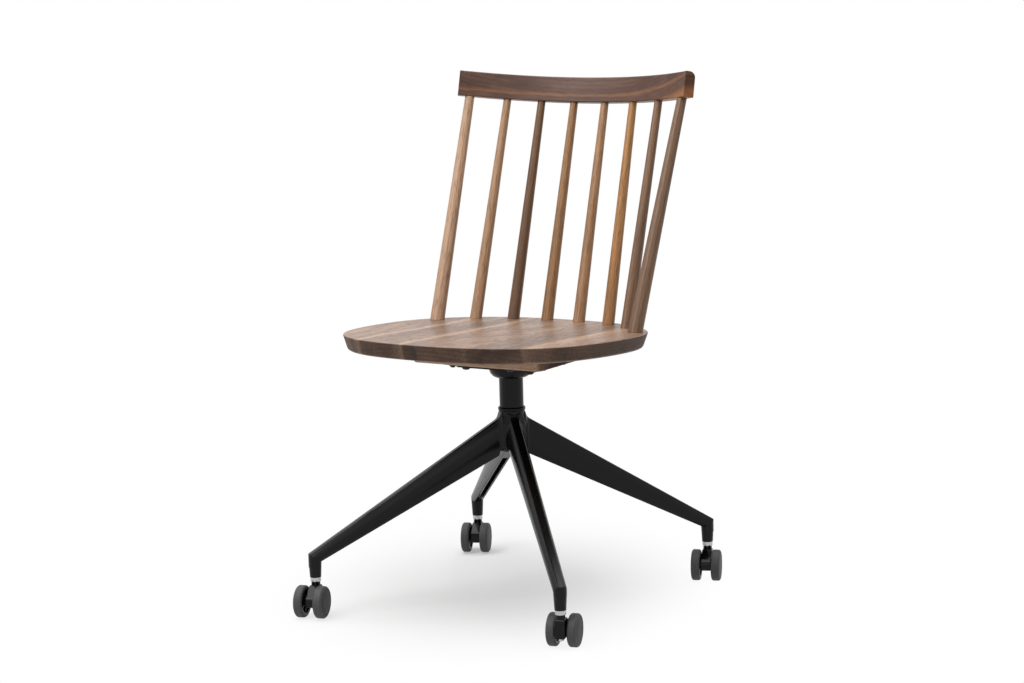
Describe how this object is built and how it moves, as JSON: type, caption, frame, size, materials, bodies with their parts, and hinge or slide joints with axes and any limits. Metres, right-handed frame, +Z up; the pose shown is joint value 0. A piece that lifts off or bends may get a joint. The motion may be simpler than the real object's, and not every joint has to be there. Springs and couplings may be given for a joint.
{
  "type": "bankers swivel chair",
  "caption": "Spindle-back wooden task chair with a shaped plank seat and a curved crest rail, swivelling on a black cast star base with twin-wheel castors.",
  "frame": {"origin": "on the floor, under the axis that the seat turns about", "axes": "+Z up along the swivel axis, -Y towards the front of the seat, +X to the right as seen from the front"},
  "size_m": [0.4988, 0.5628, 0.8177],
  "materials": {
    "seat_walnut": "satin lacquer",
    "rail_walnut": "satin lacquer",
    "spindle_walnut": "satin lacquer",
    "underside_wood": "matt",
    "black_screws": "black oxide",
    "black_steel": "satin black powder coat",
    "steel": "machined",
    "black_casting": "semi-gloss black coat",
    "bearing_plastic": "moulded",
    "black_plastic": "moulded",
    "plated_steel": "bright plated",
    "castor_black": "glossy moulded",
    "wheel_grey": "moulded",
    "tread_grey": "matt"
  },
  "bodies": {
    "base": {"base_casting": "black_casting", "upper_bush": "bearing_plastic", "lower_bush": "bearing_plastic", "hub_cap": "black_plastic", "front_left_castor_sleeve": "bearing_plastic", "front_left_castor_stem": "plated_steel", "front_right_castor_sleeve": "bearing_plastic", "front_right_castor_stem": "plated_steel", "rear_right_castor_sleeve": "bearing_plastic", "rear_right_castor_stem": "plated_steel", "rear_left_castor_sleeve": "bearing_plastic", "rear_left_castor_stem": "plated_steel"},
    "seat": {"seat_board": "seat_walnut", "seat_wedge": "underside_wood", "mount_board": "underside_wood", "crest_rail": "rail_walnut", "spindle_1": "spindle_walnut", "spindle_2": "spindle_walnut", "spindle_3": "spindle_walnut", "spindle_4": "spindle_walnut", "spindle_5": "spindle_walnut", "spindle_6": "spindle_walnut", "spindle_7": "spindle_walnut", "spindle_8": "spindle_walnut", "seat_screws": "black_screws", "mount_board_screws": "black_screws", "plate_bolts": "black_screws", "swivel_plate": "black_steel", "column_tube": "black_steel", "column_collar": "black_steel", "swivel_shaft": "steel", "retaining_washer": "steel", "retaining_clip": "steel"},
    "front_left_castor": {"front_left_castor_housing": "castor_black", "front_left_castor_axle": "steel"},
    "front_left_castor_left_wheel": {"front_left_castor_left_wheel": "wheel_grey", "front_left_castor_left_tread": "tread_grey"},
    "front_left_castor_right_wheel": {"front_left_castor_right_wheel": "wheel_grey", "front_left_castor_right_tread": "tread_grey"},
    "front_right_castor": {"front_right_castor_housing": "castor_black", "front_right_castor_axle": "steel"},
    "front_right_castor_left_wheel": {"front_right_castor_left_wheel": "wheel_grey", "front_right_castor_left_tread": "tread_grey"},
    "front_right_castor_right_wheel": {"front_right_castor_right_wheel": "wheel_grey", "front_right_castor_right_tread": "tread_grey"},
    "rear_right_castor": {"rear_right_castor_housing": "castor_black", "rear_right_castor_axle": "steel"},
    "rear_right_castor_left_wheel": {"rear_right_castor_left_wheel": "wheel_grey", "rear_right_castor_left_tread": "tread_grey"},
    "rear_right_castor_right_wheel": {"rear_right_castor_right_wheel": "wheel_grey", "rear_right_castor_right_tread": "tread_grey"},
    "rear_left_castor": {"rear_left_castor_housing": "castor_black", "rear_left_castor_axle": "steel"},
    "rear_left_castor_left_wheel": {"rear_left_castor_left_wheel": "wheel_grey", "rear_left_castor_left_tread": "tread_grey"},
    "rear_left_castor_right_wheel": {"rear_left_castor_right_wheel": "wheel_grey", "rear_left_castor_right_tread": "tread_grey"}
  },
  "joints": [
    {"name": "seat_swivel", "type": "hinge", "parent": "base", "child": "seat", "pos_m": [0, 0, 0.33], "axis": [0, 0, 1], "continuous": true},
    {"name": "front_left_castor_swivel", "type": "hinge", "parent": "base", "child": "front_left_castor", "pos_m": [-0.21995, -0.23422, 0.05], "axis": [0, 0, 1], "continuous": true},
    {"name": "front_left_castor_left_wheel_spin", "type": "hinge", "parent": "front_left_castor", "child": "front_left_castor_left_wheel", "pos_m": [-0.21503, -0.25257, 0.025], "axis": [-0.9659, -0.2588, 0], "continuous": true},
    {"name": "front_left_castor_right_wheel_spin", "type": "hinge", "parent": "front_left_castor", "child": "front_left_castor_right_wheel", "pos_m": [-0.21503, -0.25257, 0.025], "axis": [-0.9659, -0.2588, 0], "continuous": true},
    {"name": "front_right_castor_swivel", "type": "hinge", "parent": "base", "child": "front_right_castor", "pos_m": [0.21995, -0.23422, 0.05], "axis": [0, 0, 1], "continuous": true},
    {"name": "front_right_castor_left_wheel_spin", "type": "hinge", "parent": "front_right_castor", "child": "front_right_castor_left_wheel", "pos_m": [0.21503, -0.21587, 0.025], "axis": [0.9659, 0.2588, 0], "continuous": true},
    {"name": "front_right_castor_right_wheel_spin", "type": "hinge", "parent": "front_right_castor", "child": "front_right_castor_right_wheel", "pos_m": [0.21503, -0.21587, 0.025], "axis": [0.9659, 0.2588, 0], "continuous": true},
    {"name": "rear_right_castor_swivel", "type": "hinge", "parent": "base", "child": "rear_right_castor", "pos_m": [0.21995, 0.23422, 0.05], "axis": [0, 0, 1], "continuous": true},
    {"name": "rear_right_castor_left_wheel_spin", "type": "hinge", "parent": "rear_right_castor", "child": "rear_right_castor_left_wheel", "pos_m": [0.2266, 0.21642, 0.025], "axis": [-0.9367, -0.3502, 0], "continuous": true},
    {"name": "rear_right_castor_right_wheel_spin", "type": "hinge", "parent": "rear_right_castor", "child": "rear_right_castor_right_wheel", "pos_m": [0.2266, 0.21642, 0.025], "axis": [-0.9367, -0.3502, 0], "continuous": true},
    {"name": "rear_left_castor_swivel", "type": "hinge", "parent": "base", "child": "rear_left_castor", "pos_m": [-0.21995, 0.23422, 0.05], "axis": [0, 0, 1], "continuous": true},
    {"name": "rear_left_castor_left_wheel_spin", "type": "hinge", "parent": "rear_left_castor", "child": "rear_left_castor_left_wheel", "pos_m": [-0.21283, 0.2166, 0.025], "axis": [-0.9272, -0.3746, 0], "continuous": true},
    {"name": "rear_left_castor_right_wheel_spin", "type": "hinge", "parent": "rear_left_castor", "child": "rear_left_castor_right_wheel", "pos_m": [-0.21283, 0.2166, 0.025], "axis": [-0.9272, -0.3746, 0], "continuous": true}
  ]
}
